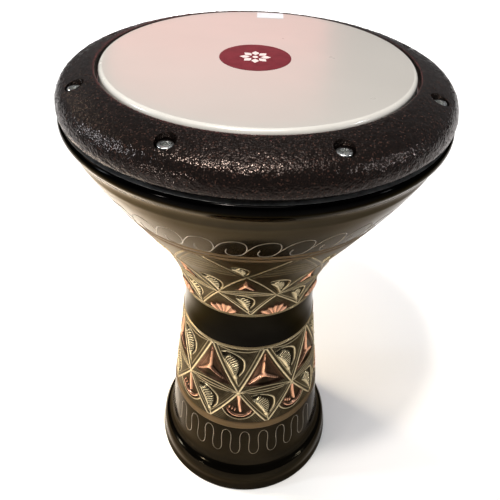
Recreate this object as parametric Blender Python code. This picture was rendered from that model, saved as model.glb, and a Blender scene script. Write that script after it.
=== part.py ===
"""Darbuka: a cast goblet drum with a bolted tuning ring.

Frame: metres, +Z up along the drum's axis, origin at the centre of the foot, on the floor.
The front is -Y. The turned outlines below are in millimetres: radius from the axis, and
height measured from the level DATUM, which is just under the plane of the head.
"""

import math

import bmesh
import bpy
from mathutils import Matrix, Vector

# ---------------------------------------------------------------- driving dimensions, mm
DATUM = 440.0               # level that heights are measured from, above the floor
HEAD_RISE = 2.0             # top of the film, above that level
HEAD_RADIUS = 111.0         # outside of the film's collar
FILM = 0.35                 # film thickness
CROWN_RADIUS = 3.4          # rounding of the head's edge
GAP = 0.3                   # between pieces that rest on each other
WALL = 5.0                  # of the cast body

BOLTS = 8
BOLT_CIRCLE = 127.5         # radius
FIRST_BOLT = 22.5           # degrees round from the front
BOLT_HEAD_RADIUS = 5.0
BOLT_HEAD_TOP = -4.8
BOLT_HEAD_HEIGHT = 4.6
SHANK_RADIUS = 3.0          # M6, without its thread
SHANK_END = -39.7
SOCKET_ACROSS_FLATS = 5.0
SOCKET_DEPTH = 2.8
POCKET_RADIUS = 6.4         # well in the ring that the bolt head sits in
WASHER_RADIUS = 5.6
WASHER_THICKNESS = 1.0
RING_BORE_RADIUS = 3.4      # clearance hole for the shank
INSERT_RADIUS = 5.0
INSERT_BORE_RADIUS = 3.3
INSERT_LENGTH = 14.0
INSERT_HOLE_RADIUS = 5.3
INSERT_HOLE_END = -44.0

FLANGE_TOP = -27.0
HOOP_TOP = -9.0
HOOP_BOTTOM = -16.0
HOOP_SLOT_FLOOR = -14.2
COLLAR_END = -11.6          # lower edge of the film's collar, inside the hoop's slot

BADGE_RADIUS = 25.5
BADGE_CENTRE = (-2.3, -0.5)
BADGE_THICKNESS = 0.15
LABEL_SIZE = (22.4, 14.0)
LABEL_CENTRE = (8.5, 98.9)
STICKER_GAP = 0.05

LARGE_STEPS = 48            # facets round the big turned pieces
BADGE_STEPS = 24
SMALL_STEPS = 12
WELL_STEPS = 20

# Outside of the body, from the bearing edge down to the floor: (radius, height).
BEARING_EDGE = [(106.4, 1.35), (107.7, 0.8), (108.4, -0.6), (108.4, -24.8)]
FLANGE = [
    (110.4, FLANGE_TOP), (141.2, FLANGE_TOP), (142.6, -28.2), (143.0, -31.0), (142.3, -34.2),
    (139.6, -38.0), (137.0, -42.0), (135.7, -48.0),
]
BOWL = [
    (130.0, -60.0), (106.8, -100.0), (81.9, -140.0), (72.8, -160.0), (66.2, -180.0),
]
NECK = [(63.3, -200.0), (62.2, -220.0), (64.2, -240.0)]
SKIRT = [(69.0, -280.0), (78.5, -350.0), (83.9, -400.0)]
FOOT = [
    (91.0, -412.0), (95.6, -421.0), (96.6, -431.0), (98.6, -DATUM),
]
# Inside of the body where it doesn't follow the outside: throat under the head, and foot.
THROAT = [
    (104.8, 1.35), (103.7, 0.4), (103.2, -1.4), (103.2, -20.0), (107.0, -33.0),
    (112.0, -42.0), (118.0, -48.5),
]
FOOT_INSIDE = [(80.4, -408.0), (85.6, -424.0), (87.0, -DATUM)]

# Section of the tuning ring, round its outside and back under it.
RING_OUTSIDE = [
    (113.0, 0.1), (113.9, 0.8), (118.0, 0.2), (124.3, -1.7), (130.4, -3.9), (135.4, -6.3),
    (139.0, -10.0), (141.3, -14.4), (142.3, -19.0), (142.2, -22.6), (140.8, -24.0),
]
RING_GROOVE = [(138.0, -24.0), (136.6, -14.0), (133.4, -14.0), (133.0, -24.0)]
RING_INSIDE = [(119.5, -24.0), (119.5, HOOP_TOP + GAP), (113.0, HOOP_TOP + GAP)]

# Section of the flesh hoop: a channel, open upwards, that holds the film's collar.
HOOP_SECTION = [
    (112.4, HOOP_TOP), (117.0, HOOP_TOP), (117.0, HOOP_BOTTOM), (109.2, HOOP_BOTTOM),
    (109.2, HOOP_TOP), (110.0, HOOP_TOP), (110.0, HOOP_SLOT_FLOOR), (112.4, HOOP_SLOT_FLOOR),
]

# Colour, roughness and metallic value of each finish.
FINISHES = {
    "bronze_lacquer": ((0.34, 0.22, 0.11), 0.3, 0.8),
    "hammered_paint": ((0.05, 0.03, 0.028), 0.35, 0.4),
    "white_film": ((0.8, 0.78, 0.76), 0.4, 0.0),
    "bright_steel": ((0.75, 0.75, 0.72), 0.25, 1.0),
    "plain_aluminium": ((0.6, 0.6, 0.61), 0.4, 1.0),
    "brass": ((0.72, 0.52, 0.22), 0.35, 1.0),
    "badge_print": ((0.2, 0.02, 0.035), 0.4, 0.0),
    "pale_tape": ((0.75, 0.76, 0.78), 0.4, 0.0),
}


# ---------------------------------------------------------------- helpers
def clear_scene():
    for old in list(bpy.data.objects):
        bpy.data.objects.remove(old, do_unlink=True)


def finish(name):
    material = bpy.data.materials.get(name)
    if material:
        return material
    colour, roughness, metallic = FINISHES[name]
    material = bpy.data.materials.new(name)
    material.use_nodes = True
    shader = material.node_tree.nodes["Principled BSDF"]
    shader.inputs["Base Color"].default_value = (*colour, 1.0)
    shader.inputs["Roughness"].default_value = roughness
    shader.inputs["Metallic"].default_value = metallic
    return material


def world(radius, height):
    """A point of an outline, in metres, in the plane y = 0."""
    return Vector((radius, 0.0, DATUM + height)) / 1000.0


def round_the_axis(degrees, radius, height=0.0):
    """A place at an angle from the front, going round towards +X."""
    angle = math.radians(degrees)
    place = Vector((radius * math.sin(angle), -radius * math.cos(angle), DATUM + height))
    return place / 1000.0


def bolt_angles():
    return [FIRST_BOLT + 360.0 * number / BOLTS for number in range(BOLTS)]


def new_object(name, bm, material, sharp_degrees=35.0):
    bmesh.ops.recalc_face_normals(bm, faces=bm.faces)
    mesh = bpy.data.meshes.new(name)
    bm.to_mesh(mesh)
    bm.free()
    mesh.shade_smooth()
    mesh.set_sharp_from_angle(angle=math.radians(sharp_degrees))
    if material:
        mesh.materials.append(finish(material))
    result = bpy.data.objects.new(name, mesh)
    bpy.context.scene.collection.objects.link(result)
    return result


def spin_outline(bm, outline, steps, closed, centre=Vector()):
    """Turns an outline about the vertical line through centre. A closed outline makes a ring;
    an open one starts and ends on the axis."""
    corners = [bm.verts.new(centre + world(radius, height)) for radius, height in outline]
    ends = zip(corners, corners[1:] + corners[:1]) if closed else zip(corners, corners[1:])
    edges = [bm.edges.new(pair) for pair in ends]
    bmesh.ops.spin(
        bm, geom=corners + edges, cent=centre, axis=(0.0, 0.0, 1.0),
        angle=2.0 * math.pi, steps=steps,
    )
    bmesh.ops.remove_doubles(bm, verts=bm.verts, dist=1e-6)


def turned(name, outline, material, steps=LARGE_STEPS, closed=True, centre=Vector()):
    bm = bmesh.new()
    spin_outline(bm, outline, steps, closed, centre)
    return new_object(name, bm, material)


def arc(centre, radius, start, end, pieces):
    """Points of a round stretch; angles in degrees up from the outward direction."""
    points = []
    for number in range(pieces + 1):
        angle = math.radians(start + (end - start) * number / pieces)
        points.append((centre[0] + radius * math.cos(angle), centre[1] + radius * math.sin(angle)))
    return points


def inner_line(outside, wall):
    """The line a wall's thickness inside an outline that runs down the outer side."""
    line = []
    for before, point, after in zip(outside, outside[1:], outside[2:]):
        along = Vector((after[0] - before[0], after[1] - before[1])).normalized()
        line.append((point[0] + along.y * wall, point[1] - along.x * wall))
    return line


def pillar(bm, centre, radius, low, high, sides=SMALL_STEPS, turn=0.0):
    """An upright prism about centre, from low to high, in mm from the datum level."""
    bottom = Vector((centre.x, centre.y, (DATUM + low) / 1000.0))
    bmesh.ops.create_cone(
        bm, cap_ends=True, segments=sides, radius1=radius / 1000.0, radius2=radius / 1000.0,
        depth=(high - low) / 1000.0,
        matrix=Matrix.Translation(bottom + Vector((0, 0, (high - low) / 2000.0)))
        @ Matrix.Rotation(turn, 4, "Z"),
    )


def cut_away(target, name, build_cutter):
    """Cuts one hidden tool, which may have several separate bodies, out of a piece."""
    bm = bmesh.new()
    build_cutter(bm)
    tool = new_object(name, bm, None)
    tool.hide_render = True
    tool.display_type = "WIRE"
    cut = target.modifiers.new(name, "BOOLEAN")
    cut.operation = "DIFFERENCE"
    cut.solver = "EXACT"
    cut.object = tool


# ---------------------------------------------------------------- pieces
def make_shell():
    """The cast goblet: bearing edge, flange, bowl, neck and foot, hollow and open below."""
    outside = BEARING_EDGE + FLANGE + BOWL + NECK + SKIRT + FOOT
    followed = FLANGE[-1:] + BOWL[::2] + NECK[1:2] + SKIRT[::2] + FOOT[:1]
    inside = THROAT + inner_line(followed, WALL) + FOOT_INSIDE
    shell = turned("shell", outside + inside[::-1], "bronze_lacquer")

    def insert_holes(bm):
        for angle in bolt_angles():
            centre = round_the_axis(angle, BOLT_CIRCLE)
            pillar(bm, centre, INSERT_HOLE_RADIUS, INSERT_HOLE_END, FLANGE_TOP + 2.0)

    cut_away(shell, "insert_hole_tool", insert_holes)


def make_tuning_ring():
    section = RING_OUTSIDE + RING_GROOVE + RING_INSIDE
    ring = turned("tuning_ring", section, "hammered_paint")
    floor = BOLT_HEAD_TOP - BOLT_HEAD_HEIGHT - WASHER_THICKNESS - 2.0 * GAP
    clear_above = 2.0
    clear_below = RING_INSIDE[0][1] - 2.0

    def wells(bm):
        for angle in bolt_angles():
            centre = round_the_axis(angle, BOLT_CIRCLE)
            pillar(bm, centre, POCKET_RADIUS, floor, clear_above, sides=WELL_STEPS)

    def bores(bm):
        for angle in bolt_angles():
            centre = round_the_axis(angle, BOLT_CIRCLE)
            pillar(bm, centre, RING_BORE_RADIUS, clear_below, floor + clear_above)

    cut_away(ring, "bolt_well_tool", wells)
    cut_away(ring, "bolt_bore_tool", bores)


def make_flesh_hoop():
    turned("flesh_hoop", HOOP_SECTION, "plain_aluminium")


def make_drum_head():
    """The film: a flat disc with a rounded edge and a collar that hangs into the hoop."""
    centre = (HEAD_RADIUS - CROWN_RADIUS, HEAD_RISE - CROWN_RADIUS)
    over = arc(centre, CROWN_RADIUS, 90.0, 0.0, 3)
    under = arc(centre, CROWN_RADIUS - FILM, 0.0, 90.0, 3)
    top = [(0.0, HEAD_RISE)] + over
    bottom = under + [(0.0, HEAD_RISE - FILM)]
    collar = [(HEAD_RADIUS, COLLAR_END), (HEAD_RADIUS - FILM, COLLAR_END)]
    turned("drum_head", top + collar + bottom, "white_film", closed=False)


def make_badge():
    low = HEAD_RISE + STICKER_GAP
    high = low + BADGE_THICKNESS
    outline = [(0.0, high), (BADGE_RADIUS, high), (BADGE_RADIUS, low), (0.0, low)]
    centre = Vector((BADGE_CENTRE[0], BADGE_CENTRE[1], 0.0)) / 1000.0
    turned("head_badge", outline, "badge_print", BADGE_STEPS, closed=False, centre=centre)


def make_label():
    """A small blank sticker near the back edge of the head, with clipped corners."""
    bm = bmesh.new()
    width, depth = (side / 1000.0 for side in LABEL_SIZE)
    low = DATUM + HEAD_RISE + STICKER_GAP
    middle = Vector((LABEL_CENTRE[0], LABEL_CENTRE[1], low)) / 1000.0
    thickness = BADGE_THICKNESS / 1000.0
    size = Matrix.Diagonal((width, depth, thickness, 1.0))
    place = Matrix.Translation(middle + Vector((0, 0, thickness / 2)))
    bmesh.ops.create_cube(bm, size=1.0, matrix=place @ size)
    uprights = [e for e in bm.edges if abs(e.verts[0].co.z - e.verts[1].co.z) > thickness / 2]
    bmesh.ops.bevel(bm, geom=uprights, offset=0.0015, segments=3, profile=0.5, affect="EDGES")
    new_object("head_label", bm, "pale_tape")


def make_fixings():
    """Bolt, washer and threaded insert at each place round the ring."""
    under_head = BOLT_HEAD_TOP - BOLT_HEAD_HEIGHT
    washer_top = under_head - GAP
    washer_low = washer_top - WASHER_THICKNESS
    insert_top = FLANGE_TOP - GAP
    insert_low = insert_top - INSERT_LENGTH
    bolt = [
        (0.0, BOLT_HEAD_TOP), (BOLT_HEAD_RADIUS - 0.7, BOLT_HEAD_TOP),
        (BOLT_HEAD_RADIUS, BOLT_HEAD_TOP - 0.7), (BOLT_HEAD_RADIUS, under_head),
        (SHANK_RADIUS, under_head), (SHANK_RADIUS, SHANK_END + 0.8),
        (SHANK_RADIUS - 0.8, SHANK_END), (0.0, SHANK_END),
    ]
    washer = [
        (WASHER_RADIUS, washer_top), (WASHER_RADIUS, washer_low),
        (RING_BORE_RADIUS, washer_low), (RING_BORE_RADIUS, washer_top),
    ]
    insert = [
        (INSERT_RADIUS, insert_top), (INSERT_RADIUS, insert_low),
        (INSERT_BORE_RADIUS, insert_low), (INSERT_BORE_RADIUS, insert_top),
    ]
    hexagon = SOCKET_ACROSS_FLATS / 2.0 / math.cos(math.pi / 6.0)

    for number, angle in enumerate(bolt_angles(), start=1):
        on_axis = round_the_axis(angle, BOLT_CIRCLE, -DATUM)
        piece = turned(f"tuning_bolt_{number}", bolt, "bright_steel", SMALL_STEPS, False, on_axis)

        def socket(bm, centre=on_axis, turn=math.radians(angle)):
            low = BOLT_HEAD_TOP - SOCKET_DEPTH
            pillar(bm, centre, hexagon, low, BOLT_HEAD_TOP + 1.0, sides=6, turn=turn)

        cut_away(piece, f"socket_tool_{number}", socket)
        turned(f"bolt_washer_{number}", washer, "bright_steel", SMALL_STEPS, True, on_axis)
        turned(f"threaded_insert_{number}", insert, "brass", SMALL_STEPS, True, on_axis)


def put_origins_on_bolt_axes():
    """Moves each bolt's origin to its own axis, where it turns."""
    for number, angle in enumerate(bolt_angles(), start=1):
        axis = round_the_axis(angle, BOLT_CIRCLE, -DATUM)
        for name in (f"tuning_bolt_{number}", f"socket_tool_{number}"):
            piece = bpy.data.objects[name]
            piece.data.transform(Matrix.Translation(-axis))
            piece.location = axis


def main():
    clear_scene()
    make_shell()
    make_tuning_ring()
    make_flesh_hoop()
    make_drum_head()
    make_badge()
    make_label()
    make_fixings()
    put_origins_on_bolt_axes()


main()
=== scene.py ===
"""The looks of a darbuka: a goblet drum with a chased body, a hammered tuning ring and a film head.

World units are metres. Lengths in this script are millimetres, heights are measured from a
level just under the head (so they are mostly negative), and angles go round from the front
towards +X, in degrees. world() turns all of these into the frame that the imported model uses.
"""

import math

import bmesh
import bpy
import numpy as np
from mathutils import Matrix, Vector

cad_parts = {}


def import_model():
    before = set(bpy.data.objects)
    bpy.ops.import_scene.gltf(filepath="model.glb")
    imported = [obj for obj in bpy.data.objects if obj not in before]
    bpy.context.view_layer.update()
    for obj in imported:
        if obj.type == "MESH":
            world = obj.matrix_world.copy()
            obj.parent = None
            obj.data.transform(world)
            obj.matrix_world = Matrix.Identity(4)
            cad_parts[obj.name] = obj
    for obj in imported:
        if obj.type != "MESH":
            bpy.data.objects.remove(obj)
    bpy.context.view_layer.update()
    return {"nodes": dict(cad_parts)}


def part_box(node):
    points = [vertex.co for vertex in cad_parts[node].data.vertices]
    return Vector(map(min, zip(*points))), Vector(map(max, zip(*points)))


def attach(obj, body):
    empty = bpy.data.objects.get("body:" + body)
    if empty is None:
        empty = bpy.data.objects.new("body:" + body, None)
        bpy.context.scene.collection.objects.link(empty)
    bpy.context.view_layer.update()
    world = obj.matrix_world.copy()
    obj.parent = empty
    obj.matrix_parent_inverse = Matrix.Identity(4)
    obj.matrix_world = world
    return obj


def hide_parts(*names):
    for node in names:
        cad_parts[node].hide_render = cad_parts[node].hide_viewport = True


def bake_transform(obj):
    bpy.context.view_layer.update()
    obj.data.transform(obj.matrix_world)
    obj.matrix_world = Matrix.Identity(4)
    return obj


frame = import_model()

MM = 0.001
HEAD_RISE = 2.0             # top of the film, above the level that heights are measured from
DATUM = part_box("drum_head")[1][2] / MM - HEAD_RISE       # that level, above the floor
FLOOR = -DATUM
HEAD_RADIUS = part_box("drum_head")[1][0] / MM
BODY = "drum_body"
RING = "ring_assembly"
TAU = 2.0 * math.pi

# Outlines of the cast body, outside and inside: (radius, height).
FLANGE_EDGE = [
    (141.0, -27.0), (142.3, -27.9), (142.9, -29.6), (142.9, -31.6), (142.3, -33.8),
    (140.6, -36.6), (138.3, -40.0), (136.8, -43.5), (135.8, -48.0),
]
BODY_LINE = [
    (135.8, -48.0), (130.0, -60.0), (118.8, -80.0), (106.8, -100.0), (94.2, -120.0),
    (81.9, -140.0), (72.8, -160.0), (66.2, -180.0), (63.3, -200.0), (62.2, -220.0),
    (64.2, -240.0), (69.0, -280.0), (74.3, -320.0), (78.5, -350.0), (81.8, -380.0),
    (83.9, -400.0), (86.2, -408.0),
]
FOOT_LINE = [
    (86.2, -408.0), (88.6, -411.6), (90.6, -413.6), (92.4, -414.6), (93.6, -416.4),
    (95.2, -420.0), (96.1, -425.0), (96.4, -431.0), (97.6, -435.5), (98.4, -438.2),
    (98.2, -439.4), (97.2, FLOOR),
]
INSIDE_LINE = [
    (87.0, FLOOR), (85.6, -424.0), (80.4, -408.0), (78.6, -398.0), (73.4, -348.0),
    (64.0, -282.0), (57.2, -222.0), (61.4, -178.0), (77.8, -142.0), (102.0, -102.0),
    (119.0, -72.0), (124.6, -60.0), (118.0, -48.5), (112.0, -42.0), (107.0, -33.0),
    (103.2, -20.0), (103.2, -1.4), (103.7, 0.4), (104.8, 1.35),
]
BEARING_LINE = [
    (104.8, 1.35), (106.4, 1.35), (107.7, 0.8), (108.4, -0.6), (108.4, -24.8),
    (110.4, -27.0), (141.0, -27.0),
]

# Heights of the body's bands.
BEAD_FOOT = -37.6
DOUBLE_RING = ((-86.0, -90.2), (-91.8, -96.4))
UPPER_PANEL = (-96.8, -196.2)
NECK_BAND = (-198.4, -238.2)
LOWER_PANEL = (-240.2, -340.2)
SATIN_RING = (-340.4, -349.4)
WAVE_TOP, WAVE_FOOT = -354.0, -391.0
PANEL_DEPTH = 2.4           # how deep the panels' seats are cut into the body
SLEEVE = 2.2                # thickness of a panel

UPPER_SECTORS = 9           # how often each panel's pattern repeats
LOWER_SECTORS = 8
PANEL_COLUMNS = 968         # mesh columns of a panel, at most
ROW_STEP = 0.5              # mesh rows of a panel
UPPER_PHASE = -1.2          # angle of a diamond's middle in the upper panel
LOWER_PHASE = -27.5
LOWER_RADIUS = 70.0         # the lower panel's pattern is drawn on this radius
PLAIN_STEPS = 256           # columns of the plain turned pieces

BOLTS = 8
FIRST_BOLT = 22.5
BOLT_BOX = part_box("tuning_bolt_1")
BOLT_CIRCLE = math.hypot(BOLT_BOX[0][0] + BOLT_BOX[1][0], BOLT_BOX[0][1] + BOLT_BOX[1][1]) / 2 / MM
INSERT_HOLE = (5.3, -44.0, -25.0)       # in the flange: radius, lower end, upper end
WELL_RADIUS = 6.4           # of the ring's well for a bolt's head
BORE_RADIUS = 3.4           # of the ring's bore for a bolt's shank


# -------------------- points and curves
def world(angle, radius, height):
    """A place on the drum, in metres."""
    turn = math.radians(angle)
    return Vector((radius * math.sin(turn), -radius * math.cos(turn), DATUM + height)) * MM


def smooth(points, step):
    """A smooth curve through the points, as a dense list of points about step apart."""
    line = [np.array(p, float) for p in points]
    line = [2 * line[0] - line[1]] + line + [2 * line[-1] - line[-2]]
    out = []
    for a, b, c, d in zip(line, line[1:], line[2:], line[3:]):
        pieces = max(1, int(math.ceil(np.linalg.norm(c - b) / step)))
        for t in np.arange(pieces) / pieces:
            out.append(0.5 * (2 * b + (c - a) * t + (2 * a - 5 * b + 4 * c - d) * t * t
                              + (3 * b - a - 3 * c + d) * t ** 3))
    out.append(line[-2])
    return [tuple(p) for p in out]


def arc(centre, radius, start, end, pieces):
    turns = np.radians(np.linspace(start, end, pieces + 1))
    return [(centre[0] + radius * math.cos(t), centre[1] + radius * math.sin(t)) for t in turns]


BODY_CURVE = np.array(smooth(BODY_LINE, 2.0))


def body_radius(height):
    return np.interp(height, BODY_CURVE[::-1, 1], BODY_CURVE[::-1, 0])


def span_of_body(top, foot, step, inset=0.0):
    heights = np.linspace(top, foot, max(2, int(round((top - foot) / step)) + 1))
    return [(float(body_radius(h)) - inset, float(h)) for h in heights]


# -------------------- meshes
def add_object(name, data):
    thing = bpy.data.objects.new(name, data)
    bpy.context.scene.collection.objects.link(thing)
    return thing


def new_piece(name, vertices, faces, materials, sharp_degrees=40.0, face_materials=None):
    mesh = bpy.data.meshes.new(name)
    mesh.from_pydata([tuple(v) for v in vertices], [], faces)
    for material in materials:
        mesh.materials.append(material)
    if face_materials is not None:
        mesh.polygons.foreach_set("material_index", np.asarray(face_materials, np.int32))
    mesh.update()
    mesh.shade_smooth()
    mesh.set_sharp_from_angle(angle=math.radians(sharp_degrees))
    return add_object(name, mesh)


def ring_faces(rows, columns, closed):
    """Quads between rows of a turned grid. Rows run down the outer side."""
    top = np.arange(rows if closed else rows - 1)
    low = (top + 1) % rows
    column = np.arange(columns)
    after = (column + 1) % columns
    quads = np.stack([
        top[:, None] * columns + column, low[:, None] * columns + column,
        low[:, None] * columns + after, top[:, None] * columns + after,
    ], axis=-1)
    return quads.reshape(-1, 4)


def turn_points(outline, steps, centre=(0.0, 0.0)):
    """Vertices of a turned outline, row by row."""
    turns = np.arange(steps) * TAU / steps
    outline = np.array(outline, float)
    x = outline[:, :1] * np.sin(turns) + centre[0]
    y = -outline[:, :1] * np.cos(turns) + centre[1]
    z = np.repeat(outline[:, 1:2] + DATUM, steps, axis=1)
    return np.stack([x, y, z], axis=-1) * MM


def turned_ring(name, spans, steps, materials, centre=(0.0, 0.0), sharp_degrees=40.0):
    """A closed turned piece. spans is a list of (material number, points), end to end."""
    outline, owner = [], []
    for number, points in spans:
        for point in points:
            if outline and math.dist(point, outline[-1]) < 1e-4:
                continue
            outline.append(point)
            owner.append(number)
    if math.dist(outline[0], outline[-1]) < 1e-4:
        outline.pop()
        owner.pop()
    points = turn_points(outline, steps, centre).reshape(-1, 3)
    faces = ring_faces(len(outline), steps, closed=True).tolist()
    slots = np.repeat(owner[1:] + owner[:1], steps)
    return new_piece(name, points, faces, materials, sharp_degrees, slots)


def turned_solid(name, outline, steps, material, centre=(0.0, 0.0), sharp_degrees=40.0):
    """A closed turned piece whose outline starts and ends on its axis."""
    rim = turn_points(outline[1:-1], steps, centre)
    rows = len(rim)
    points = rim.reshape(-1, 3).tolist()
    for _, height in (outline[0], outline[-1]):
        points.append([centre[0] * MM, centre[1] * MM, (DATUM + height) * MM])
    faces = ring_faces(rows, steps, closed=False).tolist()
    top, foot = rows * steps, rows * steps + 1
    last = (rows - 1) * steps
    for column in range(steps):
        after = (column + 1) % steps
        faces.append([top, column, after])
        faces.append([foot, last + after, last + column])
    return new_piece(name, points, faces, [material], sharp_degrees)


def wires(name, paths, material, radius, proud, sides=6):
    """Fine raised lines on the body. Each path is a list of (angle, height)."""
    points, faces = [], []
    for path, closed in paths:
        spots = [world(a, float(body_radius(h)) + proud - radius, h) for a, h in path]
        count = len(spots)
        start = len(points)
        for number, spot in enumerate(spots):
            before = spots[number - 1] if (number or closed) else spots[0]
            after = spots[(number + 1) % count] if (number + 1 < count or closed) else spots[-1]
            along = (after - before).normalized()
            outward = Vector((spot.x, spot.y, 0.0)).normalized()
            across = along.cross(outward).normalized()
            up = across.cross(along)
            for side in range(sides):
                turn = TAU * side / sides
                offset = across * math.cos(turn) + up * math.sin(turn)
                points.append(spot + offset * radius * MM)
        for number in range(count if closed else count - 1):
            row, below = start + number * sides, start + (number + 1) % count * sides
            for side in range(sides):
                after = (side + 1) % sides
                faces.append([row + side, row + after, below + after, below + side])
        if not closed:
            faces.append([start + side for side in range(sides)][::-1])
            faces.append([start + (count - 1) * sides + side for side in range(sides)])
    return new_piece(name, points, faces, [material], 80.0)


# -------------------- materials
class Nodes:
    """A material's node tree with short calls for the nodes used here."""

    def __init__(self, name):
        self.material = bpy.data.materials.new(name)
        self.material.use_nodes = True
        self.tree = self.material.node_tree
        self.shader = self.tree.nodes["Principled BSDF"]
        self.place = self.tree.nodes.new("ShaderNodeTexCoord").outputs["Object"]

    def link(self, source, target):
        self.tree.links.new(source, target)

    def set(self, **values):
        for name, value in values.items():
            self.shader.inputs[name.replace("_", " ")].default_value = value

    def finish(self, colour, roughness):
        self.link(colour, self.shader.inputs["Base Color"])
        self.link(roughness, self.shader.inputs["Roughness"])

    def scaled(self, factors):
        node = self.tree.nodes.new("ShaderNodeMapping")
        node.inputs["Scale"].default_value = factors
        self.link(self.place, node.inputs["Vector"])
        return node.outputs["Vector"]

    def noise(self, scale, detail=3.0, roughness=0.5, stretch=None):
        node = self.tree.nodes.new("ShaderNodeTexNoise")
        node.inputs["Scale"].default_value = scale
        node.inputs["Detail"].default_value = detail
        node.inputs["Roughness"].default_value = roughness
        self.link(self.scaled(stretch) if stretch else self.place, node.inputs["Vector"])
        return node.outputs["Fac"]

    def cells(self, scale, output="Distance"):
        node = self.tree.nodes.new("ShaderNodeTexVoronoi")
        node.inputs["Scale"].default_value = scale
        self.link(self.place, node.inputs["Vector"])
        return node.outputs[output]

    def ramp(self, value, stops):
        node = self.tree.nodes.new("ShaderNodeValToRGB")
        ends = node.color_ramp.elements
        while len(ends) < len(stops):
            ends.new(0.5)
        for element, (position, colour) in zip(ends, stops):
            element.position = position
            element.color = (*colour, 1.0)
        self.link(value, node.inputs["Fac"])
        return node.outputs["Color"]

    def span(self, value, low, high, start=0.0, end=1.0):
        """Maps value from [start, end] to [low, high]."""
        node = self.tree.nodes.new("ShaderNodeMapRange")
        for name, number in zip(("From Min", "From Max", "To Min", "To Max"),
                                (start, end, low, high)):
            node.inputs[name].default_value = number
        self.link(value, node.inputs["Value"])
        return node.outputs["Result"]

    def mix(self, factor, first, second, blend="MIX"):
        """Mixes two colours; first and second are sockets or colours."""
        node = self.tree.nodes.new("ShaderNodeMix")
        node.data_type = "RGBA"
        node.blend_type = blend
        for socket, value in ((node.inputs[0], factor), (node.inputs[6], first),
                              (node.inputs[7], second)):
            if isinstance(value, bpy.types.NodeSocket):
                self.link(value, socket)
            elif isinstance(value, tuple):
                socket.default_value = (*value, 1.0)
            else:
                socket.default_value = value
        return node.outputs[2]

    def split(self, colour):
        """The three channels of a colour."""
        node = self.tree.nodes.new("ShaderNodeSeparateColor")
        self.link(colour, node.inputs["Color"])
        return node.outputs[:3]

    def marks(self):
        """What relief_ring() stored on the mesh: copper, polish and hollow, where polish also carries
        painted highlights and hollow painted shade.
        """
        node = self.tree.nodes.new("ShaderNodeAttribute")
        node.attribute_name = "wear"
        return self.split(node.outputs["Color"])

    def bump(self, height, strength, distance):
        node = self.tree.nodes.new("ShaderNodeBump")
        node.inputs["Strength"].default_value = strength
        node.inputs["Distance"].default_value = distance
        self.link(height, node.inputs["Height"])
        self.link(node.outputs["Normal"], self.shader.inputs["Normal"])


def lacquered(name, dark, light, roughness):
    """Lacquer over tinted metal: cloudy tone, fine lathe lines and a slight orange peel."""
    n = Nodes(name)
    cloud = n.noise(14.0, 4.0, 0.6)
    lathe = n.noise(1.0, 2.0, 0.5, stretch=(3.0, 3.0, 900.0))
    tone = n.ramp(cloud, [(0.3, dark), (0.7, light)])
    n.finish(n.mix(0.16, tone, n.ramp(lathe, [(0.3, dark), (0.7, light)])),
             n.span(n.noise(60.0, 3.0), roughness - 0.05, roughness + 0.07))
    n.set(Metallic=1.0, Specular_IOR_Level=0.2, Specular_Tint=(0.585, 0.56, 0.53, 1.0))
    n.bump(n.noise(220.0, 2.0), 0.08, 0.0004)
    return n.material


def mottled(name, dark, light, grain, gloss, dents=None, **settings):
    """Two tones in soft patches, an uneven roughness, and a fine bump where dents are given.

    Each of grain, gloss and dents starts with a noise's scale and detail. Then gloss has the
    lowest and highest roughness, and dents has the bump's strength and distance.
    """
    n = Nodes(name)
    n.finish(n.ramp(n.noise(*grain), [(0.3, dark), (0.7, light)]),
             n.span(n.noise(*gloss[:2]), *gloss[2:]))
    n.set(**settings)
    if dents:
        n.bump(n.noise(*dents[:2]), *dents[2:])
    return n.material


def steel(name, dark, light, roughness):
    return mottled(name, dark, light, grain=(500.0, 4.0), Metallic=1.0,
                   gloss=(800.0, 3.0, roughness - 0.06, roughness + 0.1),
                   dents=(1500.0, 3.0, 0.15, 0.0003))


def printed(name, dark, light):
    """A sticker's matt face."""
    return mottled(name, dark, light, grain=(150.0, 3.0), gloss=(200.0, 3.0, 0.42, 0.55),
                   Specular_IOR_Level=0.3)


def black_enamel(name, dark, light):
    """A deep gloss black that stays dark where it turns away."""
    n = Nodes(name)
    n.finish(n.ramp(n.noise(30.0, 4.0, 0.6), [(0.3, dark), (0.75, light)]),
             n.span(n.noise(90.0, 3.0), 0.06, 0.14))
    n.set(Metallic=1.0, Specular_Tint=(0.54, 0.525, 0.50, 1.0))
    n.bump(n.noise(160.0, 2.0), 0.06, 0.0004)
    return n.material


def chased_metal():
    """Patinated brass with copper cells; raised edges rubbed bright; painted light and shade on the
    pyramids' facets.
    """
    n = Nodes("chased_metal")
    copper, polish, hollow = n.marks()
    grain = n.noise(260.0, 4.0, 0.6)
    cloud = n.noise(75.0, 3.0, 0.6)
    deep = n.ramp(grain, [(0.25, (0.005, 0.004, 0.0027)), (0.75, (0.022, 0.0172, 0.0108))])
    worn = n.ramp(grain, [(0.25, (0.016, 0.0125, 0.0075)), (0.75, (0.056, 0.043, 0.026))])
    patina = n.mix(cloud, deep, worn)
    copper_patina = n.ramp(grain, [(0.25, (0.016, 0.0085, 0.006)), (0.75, (0.052, 0.026, 0.017))])
    bright = n.ramp(grain, [(0.2, (0.58, 0.47, 0.28)), (0.8, (0.92, 0.78, 0.50))])
    copper_bright = n.ramp(grain, [(0.2, (0.62, 0.30, 0.18)), (0.8, (0.95, 0.54, 0.35))])
    low = n.mix(copper, patina, copper_patina)
    high = n.mix(copper, bright, copper_bright)
    # Bright metal where rubbed, and a painted highlight on the pyramids' left facets.
    colour = n.mix(polish, low, high)
    # Near-black ink in the recesses, and painted shade on the pyramids' right and lower facets.
    n.finish(n.mix(hollow, colour, (0.010, 0.008, 0.005)), n.span(polish, 0.32, 0.2))
    n.set(Metallic=1.0, Specular_Tint=(0.62, 0.58, 0.52, 1.0))
    n.bump(n.noise(520.0, 3.0), 0.12, 0.0004)
    return n.material


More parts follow.
